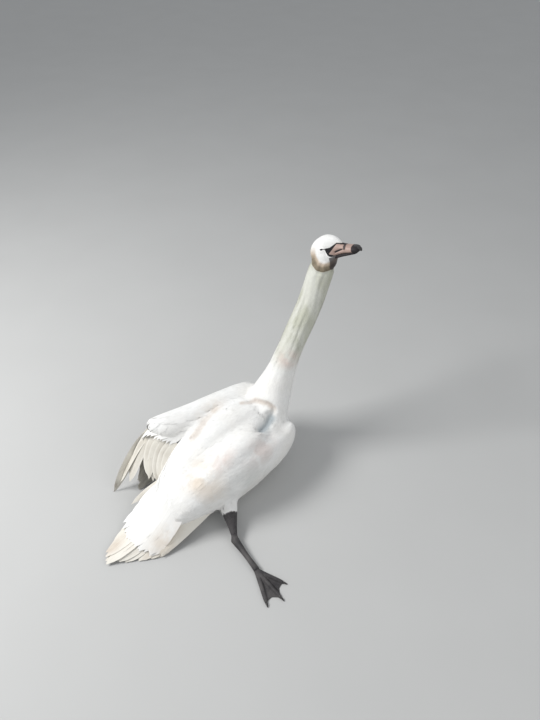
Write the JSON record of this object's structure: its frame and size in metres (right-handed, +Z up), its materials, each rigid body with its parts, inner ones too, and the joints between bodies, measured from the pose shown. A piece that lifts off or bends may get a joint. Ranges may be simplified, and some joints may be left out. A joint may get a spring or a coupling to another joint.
{
  "type": "mute swan",
  "caption": "Life-size still swan sitting on its belly, neck raised, head turned to its right, right wing folded, left wing drooping to the floor, right leg stretched out sideways.",
  "frame": {"origin": "middle of the flat on the floor that the belly rests on", "axes": "+X towards the breast (forward), +Y the bird's left, +Z up"},
  "size_m": [0.9324, 0.6697, 0.7607],
  "materials": {
    "plumage": "soft white body feathers with cream and pale brown stain",
    "flight_feathers": "long white vanes with pale shafts, cream edges",
    "bill_horn": "greyish pink horn, satin",
    "black_horn": "black horn, satin",
    "eye": "dark brown, wet",
    "scaled_skin": "dark grey scaled skin",
    "claw": "black horn"
  },
  "bodies": {
    "root": {"bill_lower": "bill_horn", "bill_nail": "black_horn", "bill_upper": "bill_horn", "claw_left_1": "claw", "claw_left_2": "claw", "claw_left_3": "claw", "claw_right_1": "claw", "claw_right_2": "claw", "claw_right_3": "claw", "eye_left": "eye", "eye_right": "eye", "foot_left": "scaled_skin", "foot_right": "scaled_skin", "head": "plumage", "leg_left": "scaled_skin", "leg_right": "scaled_skin", "neck_lower": "plumage", "neck_middle": "plumage", "neck_upper": "plumage", "scapulars_left": "plumage", "scapulars_right": "plumage", "tail": "flight_feathers", "thigh_left": "plumage", "thigh_right": "plumage", "trunk": "plumage", "wing_left": "plumage", "wing_left_primaries": "flight_feathers", "wing_left_secondaries": "flight_feathers", "wing_right": "plumage", "wing_right_primaries": "flight_feathers"}
  },
  "joints": []
}
